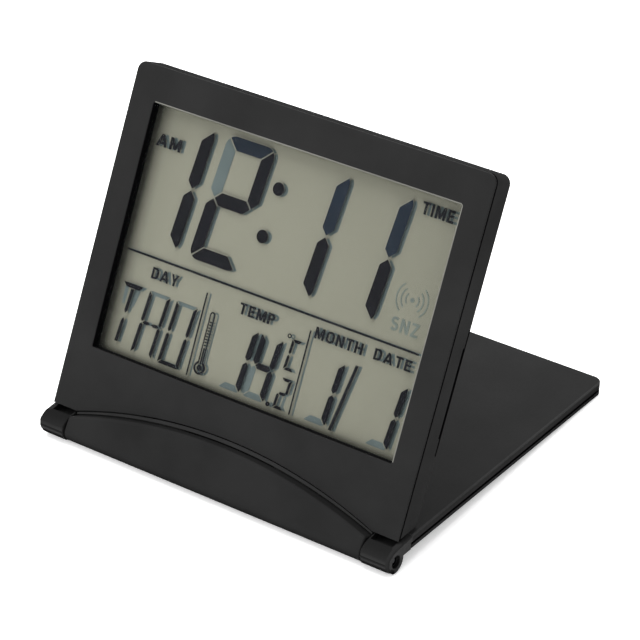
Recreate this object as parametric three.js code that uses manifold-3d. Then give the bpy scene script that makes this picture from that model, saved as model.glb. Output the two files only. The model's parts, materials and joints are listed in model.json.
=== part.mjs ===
// A folding travel alarm clock: a flat liquid-crystal clock that leans back on its own hinged cover.
//
// Two frames are used, both with their origin on the hinge axis and X to the right:
//   clock frame  Y from the face towards the back, Z up the face
//   cover frame  Y from the hinge to the free edge, Z towards the outer face
// The object's own frame stands on the table: +Z up, the face towards -Y, its origin at the
// bottom centre of the bounding box. Every length is in millimetres.

import * as THREE from "three";
import { mergeVertices } from "three/addons/utils/BufferGeometryUtils.js";
import Module from "manifold-3d";

// ---------------------------------------------------------------- driving dimensions

const DEGREE = Math.PI / 180;
const RUNNING_GAP = 0.3; // between pieces that move against each other
const FIT_GAP = 0.15; // between pieces that lie on each other inside the case
const SEAM = 0.25; // open line where two mouldings meet on the outside

const WIDTH = 88; // clock
const CASE_BOTTOM = 3.9; // height of the case's lower edge above the hinge axis
const CASE_TOP = 79.1;
const FACE_Y = 0.1; // front face, just behind the hinge axis
const BACK_Y = 6.3; // outer face of the rear wall
const WALL = 1.2;
const BACK_WALL = 1.0;
const CORNER_RADIUS = 2;

const BEZEL_EDGE = 0.5; // thickness of the bezel at its rim
const BEZEL_DEPTH = 1.2; // thickness of the bezel inside the rim
const WINDOW_HALF_WIDTH = 38;
const WINDOW_BOTTOM = 18.15;
const WINDOW_TOP = 71.45;

const HINGE_RADIUS = 2.8;
const HOOD_HALF_WIDTH = 37.75; // barrel and hood of the clock, between the cover's knuckles
const HOOD_CREST = 8.9; // height of the hood's wall at the middle
const HOOD_CREST_END = 2.95; // and where the hood meets the knuckles
const HOOD_EDGE_RADIUS = 0.75;
const HOOD_FRONT_Y = -2.2; // front of the hood's rounded upper edge
const LEDGE_CREST = 10.3; // height of the bezel's curved lower edge at the middle
const LEDGE_Y = 0.45; // front of the ledge between the hood and the bezel

const COVER_HALF_WIDTH = 44.9;
const COVER_REACH = 80.9; // from the hinge axis to the free edge
const COVER_INNER_Z = 0.25;
const COVER_OUTER_Z = 3.35;
const COVER_SHELL_DEPTH = 1.6;
const COVER_CORNER_RADIUS = 2.3;
const COVER_BLEND_Y = 5.5; // where the knuckle's slope reaches the cover's full thickness
const NOTCH_GAP = 0.4; // between the hood and the cover's curved notch

const PIN_RADIUS = 1.0;
const PIN_BORE_RADIUS = 1.1;
const PIN_INNER_X = 33.2;
const PIN_OUTER_X = 44.45;
const PIN_MOUTH_RADIUS = 1.4;
const PIN_MOUTH_DEPTH = 0.7;

const OPEN_ANGLE = 65.9 * DEGREE; // between the cover and the face when the clock stands open

const CELL = { x: 0, z: 31, radius: 10, front: 3.95, back: 5.5 };
const DOOR = { radius: 12, skirt: 10.7, tab: 13.3, tabSpan: 30 * DEGREE, notchSpan: 38 * DEGREE };
const BUTTON_X = [-27, -9, 9, 27];
const BUTTON_NAMES = ["button_mode", "button_set", "button_up", "button_snooze"];
const BUTTON_Z = 61;
const BUTTON_RADIUS = 2.6;
const BUTTON_FLANGE_RADIUS = 3.6;
const BUTTON_PROUD = 0.6;
const BUTTON_CLEARANCE = 0.25;
const SCREW_X = 40.5;
const SCREW_LOWER_Z = 10.4;
const SCREW_UPPER_Z = 75.6;
const SCREW_HEAD_RADIUS = 1.8;
const SCREW_SHANK_RADIUS = 0.8;
const BOSS_RADIUS = 1.7;
const BUZZER = { x: 27, z: 33, radius: 7.5 };

// The display's layers, one behind another: front and back faces in the clock frame.
const GLASS_HALF_WIDTH = 39.8;
const GLASS_BOTTOM = 13.5;
const GLASS_TOP = 72.6;
const LAYERS = {
  lens: [1.45, 1.95],
  frontPolariser: [2.1, 2.25],
  frontGlass: [2.35, 2.8],
  rearGlass: [2.9, 3.35],
  reflector: [3.45, 3.6],
  board: [3.75, 4.35],
};
const PARTS_Y = 4.45; // where the parts on the board's back begin
const INNER_BACK_Y = BACK_Y - BACK_WALL;

const ROUND = 28; // sides of a small circle
const FINE_ROUND = 48; // sides of a large circle
const CREST_STEPS = 24; // along the long shallow arcs
const CORNER_STEPS = 6; // around the corner of an outline
const SMALLEST_EDGE = 0.005;

// ---------------------------------------------------------------- solids

const wasm = await Module();
wasm.setup();

function solid(geometry) {
  const bare = geometry.clone();
  bare.deleteAttribute("normal");
  bare.deleteAttribute("uv");
  const merged = mergeVertices(bare, 1e-5);
  const mesh = new wasm.Mesh({
    numProp: 3,
    vertProperties: new Float32Array(merged.attributes.position.array),
    triVerts: new Uint32Array(merged.index.array),
  });
  return new wasm.Manifold(mesh);
}

// Flat neighbouring triangles are merged, and edges too short to matter are closed up.
function geometryOf(manifold) {
  const mesh = manifold.asOriginal().simplify(SMALLEST_EDGE).getMesh();
  const geometry = new THREE.BufferGeometry();
  geometry.setAttribute("position", new THREE.BufferAttribute(mesh.vertProperties, 3));
  geometry.setIndex(new THREE.BufferAttribute(mesh.triVerts, 1));
  geometry.computeVertexNormals();
  return geometry;
}

function join(pieces) {
  return pieces.reduce((whole, piece) => whole.add(piece));
}

function cut(whole, pieces) {
  return pieces.reduce((rest, piece) => rest.subtract(piece), whole);
}

// A slab in the clock frame: the shape is drawn in X and Z, and lies between two depths.
function slab(shape, front, back) {
  const options = { depth: back - front, bevelEnabled: false };
  const geometry = new THREE.ExtrudeGeometry(shape, options);
  geometry.rotateX(Math.PI / 2);
  geometry.translate(0, back, 0);
  return solid(geometry);
}

// A slab in the cover frame: the shape is drawn in X and Y, and lies between two heights.
function layer(shape, low, high) {
  const options = { depth: high - low, bevelEnabled: false };
  const geometry = new THREE.ExtrudeGeometry(shape, options);
  geometry.translate(0, 0, low);
  return solid(geometry);
}

// A bar along X whose section is drawn in Y and Z.
function bar(section, left, right) {
  const options = { depth: right - left, bevelEnabled: false };
  const geometry = new THREE.ExtrudeGeometry(section, options);
  geometry.applyMatrix4(new THREE.Matrix4().set(0, 0, 1, left, 1, 0, 0, 0, 0, 1, 0, 0, 0, 0, 0, 1));
  return solid(geometry);
}

// A disc facing the clock's back.
function disc(x, z, radius, front, back, sides = ROUND) {
  const geometry = new THREE.CylinderGeometry(radius, radius, back - front, sides);
  geometry.translate(x, (front + back) / 2, z);
  return solid(geometry);
}

// A rod along the hinge axis.
function rod(radius, left, right, sides = ROUND) {
  const geometry = new THREE.CylinderGeometry(radius, radius, right - left, sides);
  geometry.rotateZ(Math.PI / 2);
  geometry.translate((left + right) / 2, 0, 0);
  return solid(geometry);
}

function block(low, high) {
  const size = high.map((value, axis) => value - low[axis]);
  const geometry = new THREE.BoxGeometry(...size);
  geometry.translate(...high.map((value, axis) => (value + low[axis]) / 2));
  return solid(geometry);
}

function polygon(points) {
  return new THREE.Shape(points.map(([a, b]) => new THREE.Vector2(a, b)));
}

function rectangle(left, right, bottom, top) {
  return polygon([[left, bottom], [right, bottom], [right, top], [left, top]]);
}

// ---------------------------------------------------------------- curves shared by several pieces

// The circle through a crest on the middle line and two points at plus and minus halfWidth.
function crestCircle(crest, end, halfWidth) {
  const rise = crest - end;
  const radius = (halfWidth * halfWidth + rise * rise) / (2 * rise);
  return { radius, centre: crest - radius };
}

const hoodCircle = crestCircle(HOOD_CREST, HOOD_CREST_END, HOOD_HALF_WIDTH);
const ledgeCircle = crestCircle(LEDGE_CREST, CASE_BOTTOM, HOOD_HALF_WIDTH);

function heightOn(circle, x, offset = 0) {
  return circle.centre + Math.sqrt((circle.radius + offset) ** 2 - x * x);
}

function reachOn(circle, height, offset = 0) {
  return Math.sqrt((circle.radius + offset) ** 2 - (height - circle.centre) ** 2);
}

function arc(x, y, radius, from, to, steps) {
  const points = [];
  for (let step = 0; step <= steps; step += 1) {
    const angle = from + ((to - from) * step) / steps;
    points.push([x + radius * Math.cos(angle), y + radius * Math.sin(angle)]);
  }
  return points;
}

// The circle's crest from x = fromX to x = -fromX, moved outwards by offset.
function crest(circle, fromX, offset = 0) {
  const radius = circle.radius + offset;
  const half = Math.asin(fromX / radius);
  return arc(0, circle.centre, radius, Math.PI / 2 - half, Math.PI / 2 + half, CREST_STEPS);
}

// The two upper corners of an outline, from the right one to the left one.
function upperCorners(half, top, radius) {
  return [
    ...arc(half - radius, top - radius, radius, 0, Math.PI / 2, CORNER_STEPS),
    ...arc(-half + radius, top - radius, radius, Math.PI / 2, Math.PI, CORNER_STEPS),
  ];
}

// The outline of the clock's face, with the curved lower edge, moved inwards by inset.
function faceOutline(inset) {
  const half = WIDTH / 2 - inset;
  const bottom = CASE_BOTTOM + inset;
  return polygon([
    [-half, bottom],
    ...crest(ledgeCircle, -reachOn(ledgeCircle, bottom, inset), inset),
    [half, bottom],
    ...upperCorners(half, CASE_TOP - inset, Math.max(CORNER_RADIUS - inset, 0.4)),
  ]);
}

// The plain outline of the case behind the bezel, with a straight lower edge.
function caseOutline(inset) {
  const half = WIDTH / 2 - inset;
  return polygon([
    [-half, CASE_BOTTOM],
    [half, CASE_BOTTOM],
    ...upperCorners(half, CASE_TOP - inset, Math.max(CORNER_RADIUS - inset, 0.4)),
  ]);
}

// Everything in the clock frame that lies lower than clearance above the open cover.
function spaceNearCover(clearance) {
  const far = 200;
  const along = new THREE.Vector2(Math.sin(OPEN_ANGLE), Math.cos(OPEN_ANGLE));
  const away = new THREE.Vector2(-Math.cos(OPEN_ANGLE), Math.sin(OPEN_ANGLE));
  const level = away.clone().multiplyScalar(COVER_OUTER_Z + clearance);
  const section = new THREE.Shape([
    level.clone().addScaledVector(along, -far),
    level.clone().addScaledVector(along, -far).addScaledVector(away, -far),
    level.clone().addScaledVector(along, far).addScaledVector(away, -far),
    level.clone().addScaledVector(along, far),
  ]);
  return bar(section, -far, far);
}

const SCREWS = [
  { name: "case_screw_lower_left", x: -SCREW_X, z: SCREW_LOWER_Z },
  { name: "case_screw_lower_right", x: SCREW_X, z: SCREW_LOWER_Z },
  { name: "case_screw_upper_left", x: -SCREW_X, z: SCREW_UPPER_Z },
  { name: "case_screw_upper_right", x: SCREW_X, z: SCREW_UPPER_Z },
];

// ---------------------------------------------------------------- the clock's mouldings

// The outline around two circles and a small corner in Y and Z: the hinge barrel, the hood's
// rounded upper edge, and the foot of the hood's wall. It is the same number of points at any x.
function hoodSection(x) {
  const height = heightOn(hoodCircle, x);
  const corner = 0.12;
  const circles = [
    { y: 0, z: 0, radius: HINGE_RADIUS },
    {
      y: HOOD_FRONT_Y + HOOD_EDGE_RADIUS,
      z: Math.max(height - HOOD_EDGE_RADIUS - corner, 0),
      radius: HOOD_EDGE_RADIUS,
    },
    { y: LEDGE_Y + 2 * corner, z: height - corner, radius: corner },
  ];
  const sides = 36;
  const points = [];
  for (let side = 0; side < sides; side += 1) {
    const angle = ((side + 0.5) * 2 * Math.PI) / sides;
    const y = Math.cos(angle);
    const z = Math.sin(angle);
    const reach = (circle) => circle.y * y + circle.z * z + circle.radius;
    const outer = circles.reduce((best, circle) => (reach(circle) > reach(best) ? circle : best));
    points.push([outer.y + outer.radius * y, outer.z + outer.radius * z]);
  }
  return points;
}

// A solid through convex sections that all have the same number of points.
function loft(stations, sectionAt) {
  const sections = stations.map((x) => sectionAt(x));
  const sides = sections[0].length;
  const positions = sections.flatMap((section, row) => section.flatMap(([y, z]) => [stations[row], y, z]));
  const index = [];
  for (let row = 0; row + 1 < stations.length; row += 1) {
    for (let side = 0; side < sides; side += 1) {
      const next = (side + 1) % sides;
      const [a, b] = [row * sides + side, row * sides + next];
      const [c, d] = [a + sides, b + sides];
      index.push(a, b, d, a, d, c);
    }
  }
  const last = (stations.length - 1) * sides;
  for (let side = 1; side + 1 < sides; side += 1) {
    index.push(0, side + 1, side);
    index.push(last, last + side, last + side + 1);
  }
  const geometry = new THREE.BufferGeometry();
  geometry.setAttribute("position", new THREE.Float32BufferAttribute(positions, 3));
  geometry.setIndex(index);
  return solid(geometry);
}

function hood() {
  const steps = 22;
  const stations = [];
  for (let step = 0; step <= steps; step += 1) {
    stations.push(HOOD_HALF_WIDTH * Math.sin(((step / steps) * 2 - 1) * (Math.PI / 2)));
  }
  return loft(stations, hoodSection);
}

// The web that carries the hood: a ledge in front, and a rib behind it that reaches the rim.
function ledge() {
  const low = 1;
  const ribBack = 1.6;
  const under = [[-HOOD_HALF_WIDTH, low], [HOOD_HALF_WIDTH, low]];
  const lip = polygon([...under, ...crest(ledgeCircle, HOOD_HALF_WIDTH, -SEAM)]);
  const rib = polygon([...under, ...crest(ledgeCircle, HOOD_HALF_WIDTH, WALL)]);
  const rimFront = FACE_Y + BEZEL_EDGE + SEAM;
  return slab(lip, LEDGE_Y, rimFront + 0.1).add(slab(rib, rimFront, ribBack));
}

function sectorShape(x, z, radius, middle, span) {
  return polygon([[x, z], ...arc(x, z, radius, middle - span / 2, middle + span / 2, CORNER_STEPS)]);
}

function soundHoles() {
  const holes = [[0, 0]];
  for (let hole = 0; hole < 6; hole += 1) {
    holes.push([2.4 * Math.cos(hole * 60 * DEGREE), 2.4 * Math.sin(hole * 60 * DEGREE)]);
  }
  return holes.map(([x, z]) => disc(BUZZER.x + x, BUZZER.z + z, 0.6, INNER_BACK_Y - 1, BACK_Y + 1, 16));
}

function rearCase() {
  const rimFront = FACE_Y + BEZEL_EDGE + SEAM;
  const frontCavityBack = 1.6;
  const nearCover = spaceNearCover(RUNNING_GAP);
  const shell = slab(caseOutline(0), rimFront, BACK_Y).subtract(nearCover);
  const frontCavity = slab(faceOutline(WALL), rimFront - 1, frontCavityBack + 0.1);
  const deepCavity = slab(caseOutline(WALL), frontCavityBack, INNER_BACK_Y)
    .subtract(spaceNearCover(RUNNING_GAP + WALL));
  const hinge = join([hood(), ledge().subtract(nearCover.subtract(rod(HINGE_RADIUS + 1, -WIDTH, WIDTH)))]);
  const openings = [
    disc(CELL.x, CELL.z, DOOR.radius + RUNNING_GAP, INNER_BACK_Y - 1, BACK_Y + 1, FINE_ROUND),
    ...[45, 225].map((angle) => {
      const notch = sectorShape(CELL.x, CELL.z, DOOR.tab + RUNNING_GAP, angle * DEGREE, DOOR.notchSpan);
      return slab(notch, INNER_BACK_Y - 1, BACK_Y + 1);
    }),
    ...BUTTON_X.map((x) =>
      disc(x, BUTTON_Z, BUTTON_RADIUS + BUTTON_CLEARANCE, INNER_BACK_Y - 1, BACK_Y + 1)),
    ...SCREWS.flatMap(({ x, z }) => [
      disc(x, z, 1.05, INNER_BACK_Y - 1, BACK_Y + 1, 20),
      disc(x, z, SCREW_HEAD_RADIUS + FIT_GAP, BACK_Y - 0.65, BACK_Y + 1, 24),
    ]),
    ...soundHoles(),
    rod(PIN_BORE_RADIUS, PIN_INNER_X - 0.2, WIDTH),
    rod(PIN_BORE_RADIUS, -WIDTH, -PIN_INNER_X + 0.2),
  ];
  const tub = cut(shell, [frontCavity, deepCavity]);
  return cut(tub.add(hinge), openings);
}

function frontBezel() {
  const stepY = FACE_Y + BEZEL_EDGE;
  const backY = FACE_Y + BEZEL_DEPTH;
  const stepInset = WALL + RUNNING_GAP;
  const plate = slab(faceOutline(0), FACE_Y, stepY).add(slab(faceOutline(stepInset), stepY - 0.1, backY));
  const window = slab(
    rectangle(-WINDOW_HALF_WIDTH, WINDOW_HALF_WIDTH, WINDOW_BOTTOM, WINDOW_TOP),
    FACE_Y - 1,
    backY + 1,
  );
  const bosses = SCREWS.map(({ x, z }) => disc(x, z, BOSS_RADIUS, backY - 0.1, INNER_BACK_Y - FIT_GAP, 24));
  const holes = SCREWS.map(({ x, z }) => disc(x, z, SCREW_SHANK_RADIUS + 0.1, 1.7, BACK_Y, 20));
  return cut(join([plate, ...bosses]), [window, ...holes]);
}

// ---------------------------------------------------------------- the display

function displayLayer([front, back], halfWidth, bottom, top) {
  return slab(rectangle(-halfWidth, halfWidth, bottom, top), front, back);
}

function displayFrame() {
  const inner = GLASS_HALF_WIDTH + FIT_GAP;
  const low = GLASS_BOTTOM - FIT_GAP;
  const high = GLASS_TOP + FIT_GAP;
  const rail = 0.85;
  const outline = rectangle(-inner - rail, inner + rail, low - rail, high + rail);
  outline.holes.push(rectangle(-inner, inner, low, high));
  return slab(outline, LAYERS.lens[0], LAYERS.reflector[1]);
}

// ---------------------------------------------------------------- the electronics

function circuitBoard() {
  const [front, back] = LAYERS.board;
  const board = slab(rectangle(-37.8, 37.8, 8.2, 72), front, back);
  return board.subtract(disc(CELL.x, CELL.z, DOOR.skirt, 0, BACK_Y, FINE_ROUND));
}

function chipCap() {
  const height = 0.55;
  const radius = 4.2;
  const profile = [[0, 0], [radius, 0], [radius * 0.93, 0.3], [radius * 0.7, 0.48], [0, height]];
  const geometry = new THREE.LatheGeometry(profile.map(([r, y]) => new THREE.Vector2(r, y)), ROUND);
  geometry.translate(-24, PARTS_Y, 33);
  return solid(geometry);
}

function switchDome(x) {
  const radius = 2.4;
  const profile = [[0, 0], [radius, 0], [radius * 0.75, 0.1], [0, 0.16]];
  const geometry = new THREE.LatheGeometry(profile.map(([r, y]) => new THREE.Vector2(r, y)), 24);
  geometry.translate(x, PARTS_Y, BUTTON_Z);
  return solid(geometry);
}

function negativeContact() {
  const sheet = 0.15;
  const base = 3.7;
  const riser = CELL.radius + FIT_GAP;
  const foot = PARTS_Y + FIT_GAP;
  const pieces = [block([-riser - sheet, base, CELL.z - 3], [riser + sheet, base + sheet, CELL.z + 3])];
  for (const side of [-1, 1]) {
    const near = side * riser;
    const outer = side * (riser + sheet);
    const far = side * (riser + 4);
    const [left, right] = [Math.min(near, outer), Math.max(near, outer)];
    pieces.push(block([left, base, CELL.z - 2], [right, foot, CELL.z + 2]));
    const [footLeft, footRight] = [Math.min(near, far), Math.max(near, far)];
    pieces.push(block([footLeft, PARTS_Y, CELL.z - 2], [footRight, foot, CELL.z + 2]));
  }
  return join(pieces);
}

function positiveContact() {
  const sheet = 0.15;
  const spring = CELL.z + CELL.radius + FIT_GAP;
  const upright = block([CELL.x - 2.5, 4, spring], [CELL.x + 2.5, PARTS_Y + sheet, spring + sheet]);
  const foot = block([CELL.x - 2.5, PARTS_Y, spring], [CELL.x + 2.5, PARTS_Y + sheet, spring + 5]);
  return upright.add(foot);
}

function coinCell() {
  const { x, z, radius, front, back } = CELL;
  const profile = [[0, 0], [radius - 1.4, 0], [radius - 1.2, 0.25], [radius - 0.3, 0.25], [radius, 0.5],
    [radius, back - front - 0.25], [radius - 0.25, back - front], [0, back - front]];
  const geometry = new THREE.LatheGeometry(profile.map(([r, y]) => new THREE.Vector2(r, y)), FINE_ROUND);
  geometry.translate(x, front, z);
  return solid(geometry);
}

// ---------------------------------------------------------------- pieces worked from the back

function batteryDoor() {
  const { x, z } = CELL;
  const skirtFront = 4.85;
  const tabBack = INNER_BACK_Y - FIT_GAP;
  const plate = disc(x, z, DOOR.radius, CELL.back + FIT_GAP, BACK_Y, FINE_ROUND);
  const skirt = disc(x, z, DOOR.radius, skirtFront, CELL.back + 0.3, FINE_ROUND)
    .subtract(disc(x, z, DOOR.skirt, skirtFront - 1, CELL.back + FIT_GAP, FINE_ROUND));
  const tabs = [0, 180].map((angle) => {
    const shape = sectorShape(x, z, DOOR.tab, angle * DEGREE, DOOR.tabSpan);
    return slab(shape, skirtFront, tabBack).subtract(disc(x, z, DOOR.skirt + 0.5, 0, BACK_Y, FINE_ROUND));
  });
  const coinSlot = block([x - 7, BACK_Y - 0.35, z - 0.9], [x + 7, BACK_Y + 1, z + 0.9]);
  return cut(join([plate, skirt, ...tabs]), [coinSlot]);
}

function button(x) {
  const flangeFront = 4.92;
  const top = BACK_Y + BUTTON_PROUD;
  const profile = [
    [0, flangeFront],
    [BUTTON_FLANGE_RADIUS, flangeFront],
    [BUTTON_FLANGE_RADIUS, INNER_BACK_Y - FIT_GAP],
    [BUTTON_RADIUS, INNER_BACK_Y - FIT_GAP],
    [BUTTON_RADIUS, top - 0.3],
    [BUTTON_RADIUS - 0.3, top],
    [0, top],
  ];
  const geometry = new THREE.LatheGeometry(profile.map(([r, y]) => new THREE.Vector2(r, y)), ROUND);
  geometry.translate(x, 0, BUTTON_Z);
  return solid(geometry);
}

function screw({ x, z }) {
  const headFront = BACK_Y - 0.5;
  const head = disc(x, z, SCREW_HEAD_RADIUS, headFront, BACK_Y - 0.05, 24);
  const shank = disc(x, z, SCREW_SHANK_RADIUS, 1.9, headFront + 0.1, 20);
  const recess = [[0.95, 0.2], [0.2, 0.95]].map(([halfX, halfZ]) =>
    block([x - halfX, BACK_Y - 0.35, z - halfZ], [x + halfX, BACK_Y + 1, z + halfZ]));
  return cut(head.add(shank), recess);
}

// ---------------------------------------------------------------- the cover

// The cover's outline from above, with the curved notch for the hood, moved inwards by inset.
function coverOutline(inset, frontY) {
  const half = COVER_HALF_WIDTH - inset;
  const notchOffset = NOTCH_GAP + inset;
  const ear = Math.min(HOOD_HALF_WIDTH + RUNNING_GAP + inset, reachOn(hoodCircle, frontY, notchOffset));
  const front = heightOn(hoodCircle, ear, notchOffset) > frontY + SMALLEST_EDGE
    ? [[-half, frontY], [-ear, frontY]]
    : [[-half, frontY]];
  return polygon([
    ...front,
    ...crest(hoodCircle, -ear, notchOffset),
    ...front.map(([x, y]) => [-x, y]).reverse(),
    ...upperCorners(half, COVER_REACH - inset, COVER_CORNER_RADIUS - inset),
  ]);
}

// The highest point of the knuckle's circle that a straight line from the blend touches.
function blendTouch() {
  const distance = Math.hypot(COVER_BLEND_Y, COVER_OUTER_Z);
  const angle = Math.atan2(COVER_OUTER_Z, COVER_BLEND_Y) + Math.acos(HINGE_RADIUS / distance);
  return [HINGE_RADIUS * Math.cos(angle), HINGE_RADIUS * Math.sin(angle)];
}

function coverShell() {
  const inner = HOOD_HALF_WIDTH + RUNNING_GAP;
  const outer = COVER_HALF_WIDTH;
  const touch = blendTouch();
  const arm = polygon([
    [0, COVER_INNER_Z],
    [COVER_BLEND_Y - RUNNING_GAP, COVER_INNER_Z],
    [COVER_BLEND_Y - RUNNING_GAP, COVER_OUTER_Z],
    touch,
  ]);
  const aboveBlend = polygon([
    touch,
    [COVER_BLEND_Y, COVER_OUTER_Z],
    [COVER_BLEND_Y, COVER_OUTER_Z + 2],
    [touch[0], COVER_OUTER_Z + 2],
  ]);
  const low = COVER_OUTER_Z - COVER_SHELL_DEPTH;
  const plate = layer(coverOutline(0, 0), low, COVER_OUTER_Z);
  const knuckles = [[-outer, -inner], [inner, outer]].flatMap(([left, right]) => [
    bar(arm, left, right),
    rod(HINGE_RADIUS, left, right, FINE_ROUND),
  ]);
  const mouths = [-1, 1].map((side) => {
    const deep = side * (COVER_HALF_WIDTH - PIN_MOUTH_DEPTH);
    return rod(PIN_MOUTH_RADIUS, Math.min(deep, side * WIDTH), Math.max(deep, side * WIDTH));
  });
  const cuts = [bar(aboveBlend, -WIDTH, WIDTH), rod(PIN_BORE_RADIUS, -WIDTH, WIDTH), ...mouths];
  return cut(join([plate, ...knuckles]), cuts);
}

function coverPanel() {
  const top = COVER_OUTER_Z - COVER_SHELL_DEPTH - SEAM;
  return layer(coverOutline(0.15, COVER_BLEND_Y), COVER_INNER_Z, top);
}

// ---------------------------------------------------------------- materials and assembly

const BLACK_PLASTIC = { color: 0x2b2b2c, roughness: 0.5, metalness: 0 };
const DARK_PLASTIC = { color: 0x242425, roughness: 0.55, metalness: 0 };
const CLEAR = { color: 0xe8eeea, roughness: 0.05, metalness: 0, transparent: true, opacity: 0.3 };
const DISPLAY_GREY = { color: 0x90917b, roughness: 0.6, metalness: 0 };
const STEEL = { color: 0xb4b6b8, roughness: 0.3, metalness: 1 };
const NICKEL = { color: 0xc8c4b8, roughness: 0.3, metalness: 1 };
const BRASS = { color: 0xc0a050, roughness: 0.35, metalness: 1 };
const BOARD_GREEN = { color: 0x1d5a34, roughness: 0.5, metalness: 0 };
const EPOXY = { color: 0x101010, roughness: 0.35, metalness: 0 };
const SILICONE = { color: 0xd58fa0, roughness: 0.7, metalness: 0 };
const CERAMIC = { color: 0xb8a888, roughness: 0.5, metalness: 0 };

function piece(name, manifold, look) {
  const mesh = new THREE.Mesh(geometryOf(manifold), new THREE.MeshStandardMaterial(look));
  mesh.name = name;
  return mesh;
}

const clock = new THREE.Group();
clock.add(piece("rear_case", rearCase(), BLACK_PLASTIC));
clock.add(piece("front_bezel", frontBezel(), BLACK_PLASTIC));
clock.add(piece("lens_window", displayLayer(LAYERS.lens, GLASS_HALF_WIDTH, 16.4, GLASS_TOP), CLEAR));
clock.add(piece("lcd_front_polariser", displayLayer(LAYERS.frontPolariser, 38.9, 17.1, 72), CLEAR));
clock.add(piece("lcd_front_glass", displayLayer(LAYERS.frontGlass, GLASS_HALF_WIDTH, GLASS_BOTTOM, GLASS_TOP), CLEAR));
clock.add(piece("lcd_rear_glass", displayLayer(LAYERS.rearGlass, GLASS_HALF_WIDTH, 16.4, GLASS_TOP), CLEAR));
clock.add(piece("lcd_reflector", displayLayer(LAYERS.reflector, 38.9, 17.1, 72), DISPLAY_GREY));
clock.add(piece("lcd_frame", displayFrame(), DARK_PLASTIC));
clock.add(piece("contact_strip", displayLayer([2.9, 3.65], 36, 14, 15.8), SILICONE));
clock.add(piece("circuit_board", circuitBoard(), BOARD_GREEN));
clock.add(piece("chip_cap", chipCap(), EPOXY));
clock.add(piece("crystal", block([-31.6, PARTS_Y, 20], [-28.4, 5.1, 21.5]), NICKEL));
clock.add(piece("temperature_sensor", block([33, PARTS_Y, 12], [34.6, 5, 12.9]), CERAMIC));
clock.add(piece("filter_capacitor", block([-21, PARTS_Y, 20], [-19, 5, 21.2]), CERAMIC));
clock.add(piece("buzzer_disc", disc(BUZZER.x, BUZZER.z, BUZZER.radius, 4.9, 5.15, FINE_ROUND), BRASS));
clock.add(piece("coin_cell", coinCell(), STEEL));
clock.add(piece("battery_contact_negative", negativeContact(), NICKEL));
clock.add(piece("battery_contact_positive", positiveContact(), NICKEL));
clock.add(piece("battery_door", batteryDoor(), DARK_PLASTIC));
BUTTON_NAMES.forEach((name, place) => {
  clock.add(piece(name, button(BUTTON_X[place]), DARK_PLASTIC));
  clock.add(piece(name.replace("button", "switch_dome"), switchDome(BUTTON_X[place]), STEEL));
});
SCREWS.forEach((place) => clock.add(piece(place.name, screw(place), STEEL)));
clock.add(piece("hinge_pin_left", rod(PIN_RADIUS, -PIN_OUTER_X, -PIN_INNER_X), STEEL));
clock.add(piece("hinge_pin_right", rod(PIN_RADIUS, PIN_INNER_X, PIN_OUTER_X), STEEL));

const cover = new THREE.Group();
cover.add(piece("cover_shell", coverShell(), BLACK_PLASTIC));
cover.add(piece("cover_panel", coverPanel(), BLACK_PLASTIC));

// The object stands on the hinge barrel and on the cover's far edge, so the cover tilts slightly.
const panelReach = COVER_REACH - 0.15;
const tilt = Math.asin(HINGE_RADIUS / Math.hypot(panelReach, COVER_INNER_Z))
  + Math.atan2(COVER_INNER_Z, panelReach);
const backmost = COVER_REACH * Math.cos(tilt) + COVER_OUTER_Z * Math.sin(tilt);
const axisY = -(backmost - HINGE_RADIUS) / 2;

cover.rotation.x = -tilt;
clock.rotation.x = -(Math.PI / 2 - (OPEN_ANGLE - tilt));

const alarmClock = new THREE.Group();
for (const half of [clock, cover]) {
  half.position.set(0, axisY, HINGE_RADIUS);
  alarmClock.add(half);
}

export default alarmClock;
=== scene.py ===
"""The look of the folding travel alarm clock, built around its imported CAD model.

Pieces are drawn in millimetres in one of two local frames with their origin on the hinge axis
and X to the right, and are then placed in the row frame in metres:
  CLOCK  Y from the face towards the back, Z up the face
  COVER  Y from the hinge to the free edge, Z towards the outer face
"""

import json
from math import acos, asin, atan2, cos, degrees, hypot, pi, radians, sin, sqrt

import bmesh
import bpy
from mathutils import Matrix, Vector


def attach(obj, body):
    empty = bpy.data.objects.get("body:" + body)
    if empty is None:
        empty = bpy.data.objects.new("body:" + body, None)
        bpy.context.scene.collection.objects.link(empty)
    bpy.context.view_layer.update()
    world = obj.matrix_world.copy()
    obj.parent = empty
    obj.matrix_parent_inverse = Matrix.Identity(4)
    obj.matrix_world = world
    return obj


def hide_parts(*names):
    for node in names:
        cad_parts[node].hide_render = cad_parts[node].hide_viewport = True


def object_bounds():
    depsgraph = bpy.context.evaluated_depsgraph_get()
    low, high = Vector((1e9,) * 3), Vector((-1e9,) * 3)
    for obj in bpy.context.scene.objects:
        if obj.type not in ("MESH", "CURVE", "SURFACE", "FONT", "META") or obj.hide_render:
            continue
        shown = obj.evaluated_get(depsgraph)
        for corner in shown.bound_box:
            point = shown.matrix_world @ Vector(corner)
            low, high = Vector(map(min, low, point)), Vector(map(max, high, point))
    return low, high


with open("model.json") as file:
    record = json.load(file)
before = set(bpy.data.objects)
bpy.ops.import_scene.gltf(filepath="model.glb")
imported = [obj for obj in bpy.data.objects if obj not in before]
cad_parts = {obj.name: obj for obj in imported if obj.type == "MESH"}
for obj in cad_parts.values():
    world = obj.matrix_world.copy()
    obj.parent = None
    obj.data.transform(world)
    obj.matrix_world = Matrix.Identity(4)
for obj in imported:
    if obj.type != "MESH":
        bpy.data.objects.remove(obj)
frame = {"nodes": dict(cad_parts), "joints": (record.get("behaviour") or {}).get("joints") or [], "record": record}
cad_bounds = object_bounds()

scene = bpy.context.scene

# ------ dimensions, in millimetres

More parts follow.
